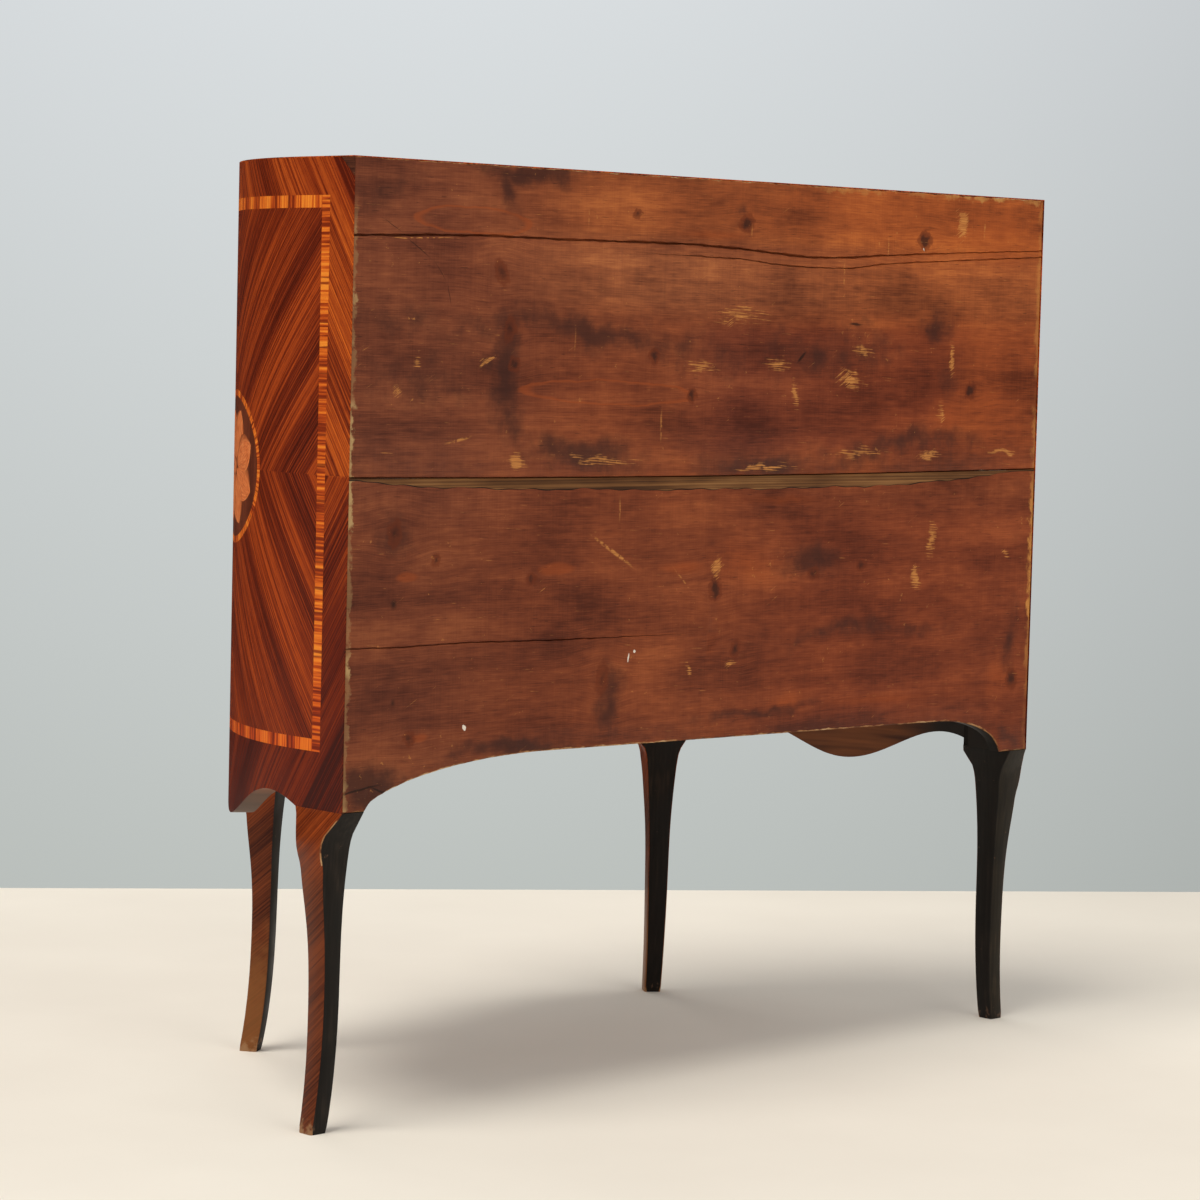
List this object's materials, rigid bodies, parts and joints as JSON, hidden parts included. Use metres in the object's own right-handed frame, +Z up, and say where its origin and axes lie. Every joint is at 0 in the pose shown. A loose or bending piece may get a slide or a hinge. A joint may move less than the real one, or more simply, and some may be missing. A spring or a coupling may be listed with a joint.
{
  "type": "demilune commode",
  "caption": "Half-round commode with veneered curved sides, a flat pine back, slender cabriole legs and bow-fronted drawers that carry swinging ring pulls.",
  "frame": {"origin": "on the floor under the middle of the case's box", "axes": "+Z up, the drawers face -Y, the flat back faces +Y, +X to the right seen from the front"},
  "size_m": [1.0142, 0.471, 0.93],
  "materials": {
    "back_pine": "old stained pine, matt",
    "case_wood": "unfinished softwood",
    "veneer": "figured veneer, polished",
    "leg_wood": "stained and polished",
    "drawer_wood": "planed softwood",
    "brass": "aged brass",
    "iron": "rusted iron"
  },
  "bodies": {
    "case": {"back_board_lower": "back_pine", "back_board_upper": "back_pine", "back_leg_left": "leg_wood", "back_leg_right": "leg_wood", "back_nails": "iron", "bottom_board": "case_wood", "drawer_guide_lower_left": "case_wood", "drawer_guide_lower_right": "case_wood", "drawer_guide_middle_left": "case_wood", "drawer_guide_middle_right": "case_wood", "drawer_guide_upper_left": "case_wood", "drawer_guide_upper_right": "case_wood", "drawer_kickers": "case_wood", "drawer_stops": "case_wood", "dust_board_lower": "case_wood", "dust_board_upper": "case_wood", "front_apron": "case_wood", "front_apron_veneer": "veneer", "front_leg_left": "leg_wood", "front_leg_right": "leg_wood", "front_rail": "case_wood", "front_rail_veneer": "veneer", "glue_blocks": "case_wood", "side_panel_left": "case_wood", "side_panel_right": "case_wood", "side_veneer_left": "veneer", "side_veneer_right": "veneer", "top_board": "case_wood", "top_veneer": "veneer"},
    "drawer_lower": {"drawer_lower_back": "drawer_wood", "drawer_lower_bottom": "drawer_wood", "drawer_lower_front": "drawer_wood", "drawer_lower_front_veneer": "veneer", "drawer_lower_pull_mounts": "brass", "drawer_lower_pull_nuts": "iron", "drawer_lower_side_left": "drawer_wood", "drawer_lower_side_right": "drawer_wood"},
    "drawer_middle": {"drawer_middle_back": "drawer_wood", "drawer_middle_bottom": "drawer_wood", "drawer_middle_front": "drawer_wood", "drawer_middle_front_veneer": "veneer", "drawer_middle_pull_mounts": "brass", "drawer_middle_pull_nuts": "iron", "drawer_middle_side_left": "drawer_wood", "drawer_middle_side_right": "drawer_wood"},
    "drawer_upper": {"drawer_upper_back": "drawer_wood", "drawer_upper_bottom": "drawer_wood", "drawer_upper_front": "drawer_wood", "drawer_upper_front_veneer": "veneer", "drawer_upper_pull_mounts": "brass", "drawer_upper_pull_nuts": "iron", "drawer_upper_side_left": "drawer_wood", "drawer_upper_side_right": "drawer_wood"},
    "ring_lower_left": {"drawer_lower_ring_left": "brass"},
    "ring_lower_right": {"drawer_lower_ring_right": "brass"},
    "ring_middle_left": {"drawer_middle_ring_left": "brass"},
    "ring_middle_right": {"drawer_middle_ring_right": "brass"},
    "ring_upper_left": {"drawer_upper_ring_left": "brass"},
    "ring_upper_right": {"drawer_upper_ring_right": "brass"}
  },
  "joints": [
    {"name": "drawer_lower_slide", "type": "slide", "parent": "case", "child": "drawer_lower", "axis": [0, -1, 0], "range_m": [0, 0.26]},
    {"name": "ring_lower_right_swing", "type": "hinge", "parent": "drawer_lower", "child": "ring_lower_right", "pos_m": [0.15259, -0.22379, 0.45475], "axis": [-0.9621, -0.2727, 0], "range_deg": [-8, 85]},
    {"name": "ring_lower_left_swing", "type": "hinge", "parent": "drawer_lower", "child": "ring_lower_left", "pos_m": [-0.15259, -0.22379, 0.45475], "axis": [-0.9621, 0.2727, 0], "range_deg": [-8, 85]},
    {"name": "drawer_middle_slide", "type": "slide", "parent": "case", "child": "drawer_middle", "axis": [0, -1, 0], "range_m": [0, 0.26]},
    {"name": "ring_middle_right_swing", "type": "hinge", "parent": "drawer_middle", "child": "ring_middle_right", "pos_m": [0.15259, -0.22379, 0.63025], "axis": [-0.9621, -0.2727, 0], "range_deg": [-8, 85]},
    {"name": "ring_middle_left_swing", "type": "hinge", "parent": "drawer_middle", "child": "ring_middle_left", "pos_m": [-0.15259, -0.22379, 0.63025], "axis": [-0.9621, 0.2727, 0], "range_deg": [-8, 85]},
    {"name": "drawer_upper_slide", "type": "slide", "parent": "case", "child": "drawer_upper", "axis": [0, -1, 0], "range_m": [0, 0.26]},
    {"name": "ring_upper_right_swing", "type": "hinge", "parent": "drawer_upper", "child": "ring_upper_right", "pos_m": [0.15259, -0.22379, 0.80575], "axis": [-0.9621, -0.2727, 0], "range_deg": [-8, 85]},
    {"name": "ring_upper_left_swing", "type": "hinge", "parent": "drawer_upper", "child": "ring_upper_left", "pos_m": [-0.15259, -0.22379, 0.80575], "axis": [-0.9621, 0.2727, 0], "range_deg": [-8, 85]}
  ]
}
